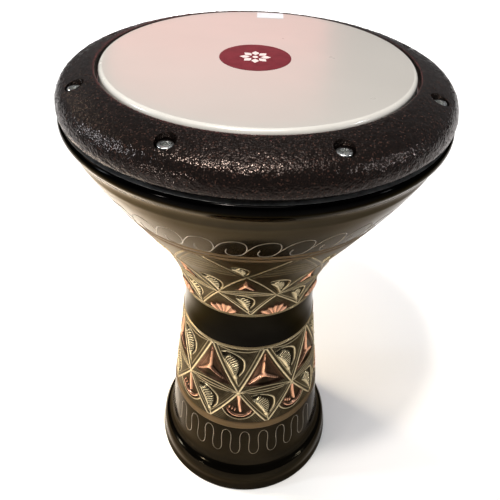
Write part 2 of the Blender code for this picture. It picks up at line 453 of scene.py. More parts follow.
def hammered_paint():
    """Black-brown paint with sparse copper flecks and a fine dimpled gloss."""
    n = Nodes("hammered_paint")
    fleck, sheen, _ = n.split(n.cells(1300.0, "Color"))
    shine = n.ramp(fleck, [
        (0.0, (0.003, 0.0025, 0.0025)), (0.7, (0.006, 0.004, 0.0035)),
        (0.92, (0.013, 0.0075, 0.006)), (1.0, (0.065, 0.033, 0.025))])
    _, raised, _ = n.marks()
    n.finish(n.mix(n.span(raised, 0.0, 0.3), shine, (0.010, 0.007, 0.006)),
             n.span(sheen, 0.10, 0.24))
    n.set(Metallic=0.1, Specular_IOR_Level=0.3, Specular_Tint=(1.0, 0.78, 0.69, 1.0))
    n.bump(n.span(n.cells(720.0), 1.0, 0.0), 0.3, 0.0009)
    return n.material


# -------------------- relief drawing
def dist_to(x, y, line):
    """Distance from each place to a polyline, and how far along it the nearest point is, 0 to 1."""
    line = np.array(line, float)
    lengths = np.hypot(*(line[1:] - line[:-1]).T)
    before = np.concatenate([[0.0], np.cumsum(lengths)])
    best = np.full(x.shape, 1e9)
    along = np.zeros(x.shape)
    for number, (a, b) in enumerate(zip(line, line[1:])):
        dx, dy = b - a
        t = ((x - a[0]) * dx + (y - a[1]) * dy) / max(dx * dx + dy * dy, 1e-9)
        t = np.clip(t, 0.0, 1.0)
        d = np.hypot(x - a[0] - t * dx, y - a[1] - t * dy)
        nearer = d < best
        best = np.where(nearer, d, best)
        along = np.where(nearer, (before[number] + t * lengths[number]) / before[-1], along)
    return best, along


def soft(value):
    """0 below 0, 1 above 1, smooth between."""
    value = np.clip(value, 0.0, 1.0)
    return value * value * (3.0 - 2.0 * value)


class Relief:
    """Height in mm and finish over one sector of a panel: places are x round, y up, in mm."""

    def __init__(self, x, y):
        self.x, self.y = x, y
        self.height = np.zeros(x.shape)
        self.copper = np.zeros(x.shape)
        # Rubbed bright metal; also the painted highlight on a pyramid's left facets.
        self.polish = np.zeros(x.shape)
        # Dark ink in recesses; also the painted shade on a pyramid's right and lower facets.
        self.hollow = np.zeros(x.shape)

    def at_least(self, **layers):
        """Raises height, copper, polish or hollow to these values where they are lower."""
        for name, value in layers.items():
            setattr(self, name, np.maximum(getattr(self, name), value))

    def shift(self, x0, period):
        """The places as seen from x0, wrapped round the sector."""
        return (self.x - x0 + period / 2.0) % period - period / 2.0, self.y

    def ridge(self, places, line, width, height, shine=1.0, copper=0.0, taper=0.0):
        """A raised line: width is its half width; taper narrows its ends."""
        d, along = dist_to(*places, line)
        half = width * (1.0 - taper * np.abs(2.0 * along - 1.0) ** 2)
        shape = soft(1.0 - d / np.maximum(half, 0.05))
        self.height = np.maximum(self.height, height * shape + np.minimum(self.height, 0.0)
                                 * (1.0 - soft(1.3 * shape)))
        self.polish = np.maximum(self.polish * (1.0 - shape), shine * shape)
        self.hollow = self.hollow * (1.0 - soft(1.6 * shape))
        self.copper = np.where(shape > 0.15, copper, self.copper)

    def hatch(self, places, line, pitch, count):
        """Fine scratched lines that follow another line."""
        d, _ = dist_to(*places, line)
        reach = soft((d - 1.4) / 0.8) * soft((1.4 + pitch * count - d) / 1.2)
        groove = 0.5 + 0.5 * np.cos(TAU * d / pitch)
        self.height = self.height - 0.13 * reach * groove
        self.at_least(polish=0.05 * reach * (1.0 - groove), hollow=0.45 * reach * groove)

    def scoop(self, mask, depth, dark=0.0):
        self.height = self.height - depth * mask
        self.at_least(hollow=dark * mask)

    def leaf(self, places, size=1.0, teeth=11, belly=3.2):
        """A half-moon leaf: a bright bar with teeth, a dark hollow, and a bright rim."""
        x, y = places[0] / size, places[1] / size
        rim = smooth([(-15.0, 8.0), (-8.0, 10.0), (0.0, 8.0), (6.0, 3.6), (8.6, -1.6),
                      (8.2, -11.0), (4.2, -19.0)], 1.5)
        bar = smooth([(-13.0, 1.6), (-10.0, -1.4), (-5.5, -8.0), (-2.4, -15.0), (-0.6, -20.0)], 1.5)
        to_rim, _ = dist_to(x, y, rim)
        to_bar, along = dist_to(x, y, bar)
        loop = np.array(rim + bar[::-1])
        inside = in_polygon(x, y, loop)
        share = to_bar / (to_bar + to_rim + 1e-6)
        depth = soft(np.minimum(to_rim, to_bar) / 2.2) * inside
        self.scoop(depth, 1.5 * size)
        self.at_least(hollow=soft((share - 0.1) / 0.2) * depth * 0.97)
        comb = soft(0.5 + 0.85 * np.cos(TAU * teeth * along))
        reach = soft((0.68 - share) / 0.16) * inside * soft(along / 0.06) * soft((1 - along) / 0.05)
        tooth = comb * reach
        self.at_least(height=self.height + 1.9 * size * tooth, polish=soft(1.3 * tooth))
        self.hollow = self.hollow * (1.0 - soft(1.4 * tooth))
        self.ridge((x, y), rim, 1.5, 0.9 * size, 0.85, taper=0.55)
        self.ridge((x, y), bar, belly, 1.3 * size, 1.0, taper=0.6)
        self.ridge((x, y), [(-0.6, -19.0), (0.4, -22.5)], 2.8, 1.1 * size, 1.0)
        self.ridge((x, y), [(0.9, -23.0), (2.2, -30.0)], 1.0, 0.6 * size, 0.75)


def in_polygon(x, y, loop):
    """1 inside a closed loop of points, 0 outside."""
    inside = np.zeros(x.shape, bool)
    for a, b in zip(loop, np.roll(loop, -1, axis=0)):
        crosses = (a[1] > y) != (b[1] > y)
        slope = (b[0] - a[0]) / (b[1] - a[1] if abs(b[1] - a[1]) > 1e-9 else 1e-9)
        inside ^= crosses & (x < a[0] + slope * (y - a[1]))
    return inside.astype(float)


def pyramid(relief, places, centre, tips, top, width, floor):
    """Concave copper facets between ridges that run from a centre to the tips, with painted light
    from the left.
    """
    x, y = places
    inside = in_polygon(x, y, np.array(floor))
    edge, _ = dist_to(x, y, floor + floor[:1])
    depth = soft(edge / 3.4) * inside
    relief.scoop(depth, 1.5)
    # Painted light from the left: the left facets are brightened (a painted highlight) and the right
    # facets darkened (painted shade).
    relief.at_least(copper=soft(edge / 0.8) * inside,
                    polish=(0.01 + 0.17 * soft((centre[0] - x) / 9.0)) * inside,
                    hollow=0.5 * soft((x - centre[0]) / 4.0) * depth)
    # Painted shade: the facet below the centre is darkened nearly to black.
    below = soft((centre[1] - y) / 3.0) * soft(edge / 2.0) * inside
    relief.at_least(hollow=0.88 * below * soft(1.25 - np.abs(x - centre[0]) / 11.0))
    for tip in tips:
        d, along = dist_to(x, y, [centre, tip])
        half = width * (1.0 - 0.62 * along)
        shape = np.clip(1.0 - d / half, 0.0, 1.0) ** 1.25
        lift = (top * (1.0 - 0.55 * along) + 1.2) * shape
        relief.at_least(height=relief.height * (1 - shape) + lift - 1.2 * shape,
                        polish=soft(1.5 * shape - 0.1) * (1.0 - 0.3 * along))
        relief.hollow = relief.hollow * (1.0 - soft(1.5 * shape))


def sag_lines(relief, places, half, base, lifts):
    """Thin lines between two nodes that rise a little in the middle."""
    across = np.linspace(-half, half, 17)
    for lift in lifts:
        line = [(a, base + lift * (1.0 - (a / half) ** 2)) for a in across]
        relief.ridge(places, line, 0.75, 0.45, 0.62)


def upper_relief(angles, heights, sector):
    """The panel above the neck band: crossing lines, leaves, small pyramids and rayed fans."""
    radius = body_radius(heights)[:, None]
    x = radius * np.radians(angles)[None, :]
    y = np.repeat(heights[:, None], len(angles), axis=1)
    relief = Relief(x, y)
    here = (x, y)
    half = sector / 2.0
    turned = np.radians(np.where(angles > 0, angles - half, angles + half))[None, :]
    beside = (radius * turned, y)

    def at(angle, height):
        return (float(body_radius(height)) * math.radians(angle), height)

    def bent(start, end, pieces=8):
        """A line that is straight on the unrolled drum, from one (angle, height) to another."""
        return [at(start[0] + (end[0] - start[0]) * t, start[1] + (end[1] - start[1]) * t)
                for t in np.linspace(0.0, 1.0, pieces)]

    crossing, node, foot = -130.0, -167.5, -195.0       # heights where the lines meet
    reach = 16.5                # degrees that a line goes round between a crossing and the top
    for way in (-1.0, 1.0):
        relief.hatch(here, bent((0.0, crossing), (way * half, node)), 1.8, 4)
        relief.hatch(here, bent((0.0, crossing), (way * reach, -97.0)), 1.8, 5)
        relief.hatch(here, bent((0.0, foot), (way * half, node)), 1.8, 3)

    # rayed copper fans that stand on the neck band
    fan_x, fan_y = beside[0] - 2.5, beside[1] + 197.0
    turn = np.arctan2(fan_x, fan_y + 3.0)
    ray = soft(0.5 + 0.6 * np.cos(14.0 * turn + 0.9 * np.sin(3.0 * turn)))
    far = np.hypot(fan_x / 14.0, fan_y / 13.0) / (0.86 + 0.16 * ray + 0.07 * np.sin(5.0 * turn))
    wedge = soft((1.0 - far) / 0.14) * (fan_y > 0.2)
    relief.scoop(soft((1.32 - far) / 0.1) * soft(fan_y), 0.9, 0.6)
    relief.at_least(height=(0.35 + 0.9 * ray) * wedge, copper=soft((1.35 - far) / 0.1),
                    polish=wedge * (0.45 + 0.45 * ray))
    relief.hollow = relief.hollow * (1.0 - wedge) + 0.25 * wedge * (1.0 - ray)

    # small pyramid under each crossing
    pyramid(relief, here, (-1.0, -150.5), [(-1.0, -139.0), (-6.0, -156.0), (5.0, -156.0)], 1.0, 2.6,
            [(-0.5, -136.0), (-10.5, -157.5), (10.0, -157.5)])
    sag_lines(relief, here, at(half, -167.0)[0], -167.0, (8.0, 4.6, 1.6))
    relief.leaf((here[0] - 0.5, here[1] + 173.0), 0.66, teeth=6, belly=5.4)
    relief.leaf((here[0] + 3.0, here[1] + 114.0), 0.55, teeth=6, belly=4.2)
    relief.leaf((beside[0] - 1.0, beside[1] + 146.0), 0.72, teeth=8, belly=3.6)
    for level, side in ((-127.0, 23.0), (-121.0, 19.0), (-115.0, 14.0), (-109.5, 9.0)):
        relief.ridge(beside, [(-side, level), (0.0, level + 1.6), (side, level)], 0.7, 0.35, 0.45)

    # the crossing lines, with thin lines beside some of them
    tip = 3.4
    for way in (-1.0, 1.0):
        relief.ridge(here, bent((tip, foot), (way * half, node)), 1.15, 0.75, 0.7)
        relief.ridge(here, bent((tip, foot + 3.6), (way * (half - 3.0), node - 0.7)), 0.6, 0.4, 0.5)
        relief.ridge(here, bent((way * half, node), (0.0, crossing)), 1.2, 0.7, 0.55)
        relief.ridge(here, bent((0.0, crossing), (way * reach, -96.0)), 1.2, 0.6, 0.5)
        relief.ridge(here, bent((way * 3.0, crossing - 0.5), (way * 18.6, -97.0)), 0.6, 0.35, 0.45)
    relief.ridge(here, [(-60.0, foot - 0.7), (60.0, foot - 0.7)], 0.8, 0.5, 0.75)
    return relief


def lower_relief(angles, heights, sector):
    """The panel below the neck band: copper pyramids and anchors, brass leaves, doubled lines."""
    x = LOWER_RADIUS * np.radians(angles)[None, :] * np.ones((len(heights), 1))
    y = np.repeat(heights[:, None], len(angles), axis=1)
    period = LOWER_RADIUS * math.radians(sector)
    half = period / 2.0
    relief = Relief(x, y)
    here = (x, y)
    beside = relief.shift(half, period)
    top, node, foot = -240.6, -298.5, -341.5    # heights where the lines meet
    peak = -2.2                 # the top meeting point, round from the sector's middle

    for way in (-1.0, 1.0):
        relief.hatch(here, [(peak, top), (way * half, node)], 1.9, 4)
        relief.hatch(here, [(way * half, node), (0.0, foot)], 1.9, 4)

    # copper pyramids
    pyramid(relief, here, (-3.6, -274.5), [(peak, -249.0), (-17.5, -285.5), (11.0, -283.0)], 1.6, 3.4,
            [(peak, -243.6), (-23.0, -289.5), (20.5, -289.5)])
    sag_lines(relief, here, half, node, (8.2, 4.0, 0.6))

    # brass leaves between and below the pyramids
    relief.leaf((beside[0] + 4.0, beside[1] + 256.0), 1.0)
    relief.leaf((here[0] + 0.5, here[1] + 309.5), 0.94, teeth=10)

    # copper anchors: an upright with a cup below it
    cup = arc((1.5, -318.0), 12.3, 200.0, 340.0, 16)
    outer = arc((1.0, -318.6), 16.4, 198.0, 342.0, 18)
    bell = [(0.5, -302.0)] + outer
    within = in_polygon(*beside, np.array(bell))
    edge, _ = dist_to(*beside, bell + bell[:1])
    bowl = within * soft(edge / 3.0)
    relief.scoop(bowl, 1.2, 0.55)
    relief.at_least(copper=0.75 * within * soft(edge / 2.0))
    relief.ridge(beside, outer, 0.85, 0.5, 0.7)
    relief.ridge(beside, cup, 2.3, 1.0, 0.85, copper=1.0, taper=0.6)
    relief.ridge(beside, [(0.6, -301.0), (1.2, -312.0), (2.6, -323.0)], 2.7, 1.3, 1.0, copper=1.0)
    for step in range(3):
        spot = (-3.0 - 2.6 * step, -323.6 + 1.5 * step)
        relief.ridge(beside, [spot, (spot[0] + 0.8, spot[1] + 2.6)], 1.1, 0.8, 0.8, copper=1.0)

    # lattice, with a second thin line beside each edge
    for way in (-1.0, 1.0):
        relief.ridge(here, [(peak, top + 1.0), (way * half, node)], 1.35, 0.8, 0.85)
        relief.ridge(here, [(way * half, node), (0.0, foot)], 1.3, 0.75, 0.8)
        relief.ridge(here, [(peak + way * 4.2, top + 1.0), (way * half, node + 9.0)], 0.6, 0.4, 0.5)
        relief.ridge(here, [(way * (half - 4.0), node - 1.5), (0.0, foot + 6.5)], 0.55, 0.35, 0.45)
    relief.ridge(beside, [(-half + 3.0, top - 1.0), (-8.0, top - 4.0), (8.0, top - 4.0),
                          (half - 3.0, top - 1.0)], 0.7, 0.45, 0.6)
    relief.ridge(beside, [(-half, top), (half, top)], 0.9, 0.5, 0.75)
    for spot in ((peak, top - 0.6), (0.0, foot + 1.5)):
        relief.ridge(here, [spot, (spot[0], spot[1] - 0.1)], 2.6, 0.8, 0.9)
    relief.ridge(beside, [(0.0, node), (0.1, node)], 3.0, 0.9, 0.92)
    return relief


def relief_ring(name, radius, level, turns, marks, material, sharp_degrees):
    """A closed turned piece from grids of radii and heights, with finish marks at its points."""
    points = np.stack([radius * np.sin(turns), -radius * np.cos(turns), DATUM + level],
                      axis=-1) * MM
    faces = ring_faces(*radius.shape, closed=True).tolist()
    piece = new_piece(name, points.reshape(-1, 3), faces, [material], sharp_degrees)
    layer = piece.data.color_attributes.new("wear", "FLOAT_COLOR", "POINT")
    layer.data.foreach_set("color", marks.astype(np.float32).ravel())
    return piece


def panel(name, bounds, sectors, phase, drawing, material, seed):
    """A chased sleeve: a fine outer surface with relief, closed by a plain inside."""
    top, foot = bounds
    rows = int(round((top - foot) / ROW_STEP)) + 1
    heights = np.linspace(top, foot, rows)
    sector = 360.0 / sectors
    part = PANEL_COLUMNS // sectors
    angles = (np.arange(part) + 0.5) / part * sector - sector / 2.0
    relief = drawing(angles, heights, sector)
    rng = np.random.default_rng(seed)
    fade = soft((top - heights) / 1.2) * soft((heights - foot) / 1.2)
    offset = np.concatenate([
        relief.height * rng.uniform(0.86, 1.08) for _ in range(sectors)], axis=1)
    offset = np.maximum(offset, -1.7) * fade[:, None]
    marks = np.stack([relief.copper, relief.polish, relief.hollow,
                      np.ones_like(relief.copper)], axis=-1)
    marks = np.tile(np.clip(marks, 0.0, 1.0), (1, sectors, 1))
    columns = part * sectors
    turns = np.radians(phase - sector / 2.0 + (np.arange(columns) + 0.5) * 360.0 / columns)
    radius = body_radius(heights)[:, None] + offset
    back = np.linspace(foot, top, 18)
    inner = body_radius(back)[:, None] - SLEEVE + np.zeros((len(back), columns))
    radius = np.concatenate([radius, inner])
    level = np.concatenate([heights, back])[:, None] + np.zeros_like(radius)
    marks = np.concatenate([marks, np.zeros((len(back), columns, 4))])
    return relief_ring(name, radius, level, turns, marks, material, 75.0)


# -------------------- pieces
def plan_box(node):
    """A CAD node's lowest and highest corners in mm, and the middle between them in plan."""
    low, high = (Vector(corner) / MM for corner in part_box(node))
    return low, high, ((low.x + high.x) / 2.0, (low.y + high.y) / 2.0)


def add_patch(points, faces, outline, top, foot):
    """Adds a thin flat patch between two levels above the floor; outline is seen from above."""
    start, count = len(points), len(outline)
    points += [Vector((x, y, level)) * MM for level in (top, foot) for x, y in outline]
    faces.append([start + i for i in range(count)])
    faces.append([start + count + i for i in range(count)][::-1])
    for i in range(count):
        j = (i + 1) % count
        faces.append([start + i, start + count + i, start + count + j, start + j])


def make_body(finishes):
    """The turned goblet. Its two chased panels sit in shallow seats."""
    bronze, enamel, satin, dark, casting, brass, rim = range(len(finishes))
    upper, lower = UPPER_PANEL, LOWER_PANEL

    def bead(height, size):
        middle = float(body_radius(height))
        return (brass, [(middle + size * math.sin(t), height + size * 1.4 * math.cos(t))
                        for t in np.linspace(0.0, math.pi, 7)])

    def raised(number, top, foot, lift):
        """A flat band that stands proud of the body, with rounded edges."""
        points = []
        for height in np.linspace(top, foot, 9):
            inward = min(top - height, height - foot) / 0.9
            points.append((float(body_radius(height)) + lift * min(1.0, inward) ** 0.5, height))
        return (number, points)

    first, second = DOUBLE_RING
    flange = smooth(FLANGE_EDGE, 0.8)
    spans = [
        (casting, BEARING_LINE),
        (rim, [point for point in flange if point[1] > BEAD_FOOT]),
        (bronze, [point for point in flange if point[1] <= BEAD_FOOT]),
        (bronze, span_of_body(FLANGE_EDGE[-1][1], first[0] + 0.1, 1.5)),
        raised(satin, *first, 0.35),
        (dark, span_of_body(first[1] - 0.1, second[0] + 0.1, 0.5)),
        raised(satin, *second, 0.35),
        (dark, span_of_body(upper[0] + 0.1, upper[1] - 0.1, 3.0, PANEL_DEPTH)),
        (brass, span_of_body(upper[1] - 0.1, upper[1] - 0.3, 0.2)),
        bead(-197.4, 0.5),
        (enamel, span_of_body(*NECK_BAND, 1.5)),
        bead(-239.2, 0.5),
        (brass, span_of_body(lower[0] + 0.15, lower[0] + 0.1, 0.2)),
        (dark, span_of_body(lower[0] + 0.1, lower[1] - 0.1, 3.0, PANEL_DEPTH)),
        raised(satin, *SATIN_RING, 0.5),
        (dark, span_of_body(SATIN_RING[1] - 0.1, BODY_LINE[-1][1], 1.5)),
        (dark, smooth(FOOT_LINE, 0.8)),
        (casting, smooth(INSIDE_LINE, 4.0)),
    ]
    body = turned_ring("goblet_body", spans, PLAIN_STEPS, finishes, sharp_degrees=35.0)
    cut_at_bolts(body, [INSERT_HOLE])
    return body


def scroll_paths():
    """Running scrolls: each rises from the left, rolls over and ends in a hook."""
    scroll = [
        (0.0, -86.6), (1.4, -83.0), (3.2, -75.6), (5.9, -67.2), (9.6, -63.4), (12.2, -65.6),
        (13.2, -71.2), (13.0, -78.4), (11.5, -84.6), (9.0, -87.0), (6.9, -86.2), (6.1, -82.0),
        (6.7, -76.3),
    ]
    count = 36
    first = -13.4
    crest = max(height for _, height in scroll)
    wide, tall = 0.93, 0.9
    return [([(first + number * 360.0 / count + wide * a, crest + tall * (h - crest))
              for a, h in smooth(scroll, 0.9)], False) for number in range(count)]


def wave_paths():
    """A meander round the foot: upright lobes joined by round tops and bottoms."""
    lobes = 26
    pitch = 360.0 / lobes
    first = 1.3
    swing = 0.11                # how far a lobe's sides lean out, as a share of the pitch
    middle, reach = (WAVE_TOP + WAVE_FOOT) / 2.0, (WAVE_TOP - WAVE_FOOT) / 2.0
    line = []
    for number in range(lobes):
        for t in np.linspace(-0.5, 0.5, 29)[:-1]:
            share = t + swing * math.sin(2.0 * TAU * t)
            line.append((first + (number + share) * pitch, middle + reach * math.cos(TAU * t)))
    return [(line, True)]


def film_outline():
    """Section of the film: flat, rounded at its edge, with a thin collar that hangs down."""
    crown = 3.4
    film = 0.35
    centre = (HEAD_RADIUS - crown, HEAD_RISE - crown)
    over = arc(centre, crown, 90.0, 0.0, 10)
    under = arc(centre, crown - film, 0.0, 90.0, 10)
    end = (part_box("drum_head")[0][2] / MM) - DATUM
    flats = [(r, HEAD_RISE) for r in (0.0, 20.0, 60.0, 100.0)]
    backs = [(r, HEAD_RISE - film) for r in (100.0, 20.0, 0.0)]
    return flats + over + [(HEAD_RADIUS, end), (HEAD_RADIUS - film, end)] + under + backs


def make_head(film, edge):
    head = turned_solid("head_film", film_outline(), 192, film, sharp_degrees=30.0)
    head.data.materials.append(edge)
    # The faces near the rim take the second material, a lighter copy of the film: a painted highlight
    # along the rounded edge.
    rim = (HEAD_RADIUS - 3.0) * MM
    for face in head.data.polygons:
        if math.hypot(face.center.x, face.center.y) > rim:
            face.material_index = 1
    return head


def hammer_noise(angles, levels, radius, rng):
    """Smooth lumps a few mm across: many overlapping dents at random places."""
    girth = TAU * radius
    x = np.radians(angles) * radius
    height = np.zeros((len(levels), len(angles)))
    for size, depth, density in ((2.0, 0.16, 0.14), (1.15, 0.15, 0.45)):
        count = int(girth * (levels[-1] - levels[0] + 4.0) * density)
        for cx, cy, strength, tilt in zip(
                rng.uniform(0.0, girth, count), rng.uniform(levels[0] - 2, levels[-1] + 2, count),
                rng.uniform(0.5, 1.0, count), rng.uniform(0.7, 1.5, count)):
            rows = np.abs(levels - cy) < size * 1.6
            near = (x - cx + girth / 2.0) % girth - girth / 2.0
            columns = np.abs(near) < size * 1.6
            if not rows.any() or not columns.any():
                continue
            u = near[columns][None, :] / tilt
            v = (levels[rows] - cy)[:, None] * tilt
            dent = np.exp(-(u * u + v * v) / (0.32 * size * size))
            height[np.ix_(rows, columns)] += strength * depth * dent
    return height


# Outlines of the tuning ring, outside and inside: (radius, height).
RING_TOP_LINE = [
    (113.0, -0.6), (113.25, 0.3), (113.9, 0.75), (115.5, 0.6), (118.0, 0.1), (124.3, -1.75),
    (130.4, -3.95), (135.4, -6.4), (139.0, -10.0), (141.3, -14.4), (142.2, -19.0), (142.0, -22.4),
    (140.8, -23.9),
]
RING_UNDER_LINE = [
    (138.0, -24.0), (136.6, -14.0), (133.4, -14.0), (133.0, -24.0), (119.5, -24.0),
    (119.5, -8.7), (113.0, -8.7),
]
RING_COLUMNS = 1120


def make_ring(paint):
    """The tuning ring: a hammered outside with real lumps, and a well for each bolt."""
    outside = np.array(smooth(RING_TOP_LINE, 0.78))
    steps = np.hypot(*(outside[1:] - outside[:-1]).T)
    levels = np.concatenate([[0.0], np.cumsum(steps)])
    angles = np.arange(RING_COLUMNS) * 360.0 / RING_COLUMNS
    lumps = hammer_noise(angles, levels, 133.0, np.random.default_rng(11))
    lumps -= lumps.mean()
    fade = soft((levels - 1.5) / 4.0) * soft((levels[-1] - levels) / 2.0)
    slope = np.gradient(outside, axis=0)
    normal = np.stack([-slope[:, 1], slope[:, 0]], axis=1)
    normal /= np.hypot(*normal.T)[:, None]
    radius = outside[:, :1] + normal[:, :1] * lumps * fade[:, None]
    level = outside[:, 1:] + normal[:, 1:] * lumps * fade[:, None]
    under = np.array(RING_UNDER_LINE)
    plain = np.ones((1, RING_COLUMNS))
    radius = np.concatenate([radius, under[:, :1] * plain])
    level = np.concatenate([level, under[:, 1:] * plain])
    marks = np.zeros((len(radius), RING_COLUMNS, 4))
    marks[: len(lumps), :, 1] = np.clip(0.5 + lumps * 1.6, 0.0, 1.0)
    ring = relief_ring("hammered_ring", radius, level, np.radians(angles), marks, paint, 60.0)
    well_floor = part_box("bolt_washer_1")[0][2] / MM - DATUM - 0.3
    cut_at_bolts(ring, [(WELL_RADIUS, well_floor, 3.0), (BORE_RADIUS, -27.0, well_floor + 1.0)])
    return ring


def cut_at_bolts(piece, holes):
    """Cuts round holes at every bolt. Each hole is (radius, lower end, upper end)."""
    tools = []
    for radius, low, high in holes:
        bm = bmesh.new()
        for number in range(BOLTS):
            angle = FIRST_BOLT + number * 360.0 / BOLTS
            middle = world(angle, BOLT_CIRCLE, (low + high) / 2.0)
            bmesh.ops.create_cone(
                bm, cap_ends=True, segments=48, radius1=radius * MM, radius2=radius * MM,
                depth=(high - low) * MM, matrix=Matrix.Translation(middle))
        mesh = bpy.data.meshes.new("hole_tool")
        bm.to_mesh(mesh)
        bm.free()
        tool = add_object("hole_tool", mesh)
        tools.append(tool)
        cut = piece.modifiers.new("holes", "BOOLEAN")
        cut.operation = "DIFFERENCE"
        cut.solver = "MANIFOLD"
        cut.object = tool
    apply_modifiers(piece)
    for tool in tools:
        bpy.data.objects.remove(tool)
    drop_slivers(piece.data)


def drop_slivers(mesh):
    """Closes up the faces of almost no width that a cut through a lumpy surface leaves."""
    bm = bmesh.new()
    bm.from_mesh(mesh)
    bmesh.ops.dissolve_degenerate(bm, dist=4e-6, edges=bm.edges)
    bm.to_mesh(mesh)
    bm.free()


def apply_modifiers(piece):
    """Bakes a piece's modifiers into its mesh."""
    bpy.context.view_layer.update()
    shown = piece.evaluated_get(bpy.context.evaluated_depsgraph_get())
    mesh = bpy.data.meshes.new_from_object(shown)
    piece.modifiers.clear()
    piece.data = mesh


def make_bolt(number, material):
    """A socket-head bolt: chamfered and knurled head, hexagon socket, plain shank."""
    low, high, centre = plan_box(f"tuning_bolt_{number}")
    top, end = high.z - DATUM, low.z - DATUM
    head, shank, depth = (high.x - low.x) / 2.0, 3.0, 4.6
    outline = [
        (0.0, top - 2.8), (2.45, top - 2.8), (2.75, top - 0.25), (3.0, top), (head - 0.95, top),
        (head - 0.5, top - 0.1), (head - 0.2, top - 0.35), (head, top - 0.8),
        (head, top - depth + 0.2),
        (head - 0.2, top - depth), (shank + 0.2, top - depth), (shank, top - depth - 0.3),
        (shank, end + 0.9), (shank - 0.9, end), (0.0, end),
    ]
    piece = turned_solid(f"bolt_{number}", outline, 72, material, centre, 30.0)
    turn = math.radians(FIRST_BOLT + (number - 1) * 360.0 / BOLTS) + 0.35 * number
    flats = 2.5                 # half the socket's width across its flats
    turned = 2.6                # mean radius of the round socket that gets the flats
    ribs = 36                   # of the knurled head
    for vertex in piece.data.vertices:
        x, y = vertex.co.x / MM - centre[0], vertex.co.y / MM - centre[1]
        reach = math.hypot(x, y)
        height = vertex.co.z / MM - DATUM
        angle = math.atan2(y, x)
        if 2.0 < reach < 2.8 and height > top - depth:
            aside = (angle + turn) % (math.pi / 3.0) - math.pi / 6.0
            scale = flats / turned / math.cos(aside)
        elif reach > head - 0.1 and height < top - 0.9:
            scale = 1.0 - 0.022 * (round(angle * ribs / TAU * 2.0) % 2)
        else:
            continue
        vertex.co.x = (centre[0] + x * scale) * MM
        vertex.co.y = (centre[1] + y * scale) * MM
    return piece


def make_badge(ink, pale):
    """A round printed sticker with a plain eight-petal rosette."""
    low, high, centre = plan_box("head_badge")
    radius = (high.x - low.x) / 2.0
    top, foot = high.z - DATUM, HEAD_RISE + 0.01
    outline = [(0.0, top), (radius - 0.4, top), (radius, top - 0.05), (radius, foot), (0.0, foot)]
    disc = turned_solid("badge_disc", outline, 96, ink, centre, 60.0)
    points, faces = [], []

    def patch(shape):
        """Prints a shape that is given by points from the sticker's centre."""
        outline = [(centre[0] + x, centre[1] + y) for x, y in shape]
        add_patch(points, faces, outline, DATUM + (top + 0.03), DATUM + (top - 0.02))

    petals = 8
    for number in range(petals):
        turn = TAU * number / petals
        leaf = [(2.6 * math.sin(math.pi * t) ** 1.4, 3.6 + 7.6 * t) for t in np.linspace(0, 1, 10)]
        leaf += [(-a, b) for a, b in leaf[-2:0:-1]]
        patch([(a * math.cos(turn) + b * math.sin(turn), b * math.cos(turn) - a * math.sin(turn))
               for a, b in leaf][::-1])
    patch(arc((0.0, 0.0), 2.0, 0.0, 348.0, 29))
    rosette = new_piece("badge_rosette", points, faces, [pale], 30.0)
    return disc, rosette


def make_label(material):
    """A small blank sticker with rounded corners."""
    low, high, _ = plan_box("head_label")
    corner = 1.5
    centres = [(high.x - corner, high.y - corner), (low.x + corner, high.y - corner),
               (low.x + corner, low.y + corner), (high.x - corner, low.y + corner)]
    outline, points, faces = [], [], []
    for number, middle in enumerate(centres):
        outline += arc(middle, corner, 90.0 * number, 90.0 * (number + 1), 6)
    add_patch(points, faces, outline, high.z, DATUM + HEAD_RISE + 0.01)
    return new_piece("blank_label", points, faces, [material], 40.0)


def make_washer(number, material):
    low, high, centre = plan_box(f"bolt_washer_{number}")
    top, foot = high.z - DATUM, low.z - DATUM
    outline = [(5.4, top), (5.6, top - 0.2), (5.6, foot + 0.2), (5.4, foot), (3.4, foot), (3.4, top)]
    return turned_ring(f"washer_{number}", [(0, outline)], 48, [material], centre)


# -------------------- studio
def add_camera():
    """A camera in front of the drum and a little above it, looking down at it."""
    data = bpy.data.cameras.new("camera")
    data.sensor_width = 36.0
    data.lens = 37.8
    camera = add_object("camera", data)
    pitch, roll, yaw = 39.94, 2.29, 0.09
    turn = (Matrix.Rotation(math.radians(yaw), 4, "Z")
            @ Matrix.Rotation(math.radians(90.0 - pitch), 4, "X")
            @ Matrix.Rotation(math.radians(roll), 4, "Z"))
    spot = Vector((0.0, -372.8, DATUM + 135.8)) * MM
    camera.matrix_world = Matrix.Translation(spot) @ turn
    bpy.context.scene.camera = camera


def add_light(name, spot, target, size, power, colour, spread=180.0):
    data = bpy.data.lights.new(name, "AREA")
    data.shape = "RECTANGLE"
    data.size, data.size_y = size
    data.energy = power
    data.color = colour
    data.spread = math.radians(spread)
    light = add_object(name, data)
    light.location = spot
    light.rotation_euler = (Vector(target) - Vector(spot)).to_track_quat("-Z", "Y").to_euler()


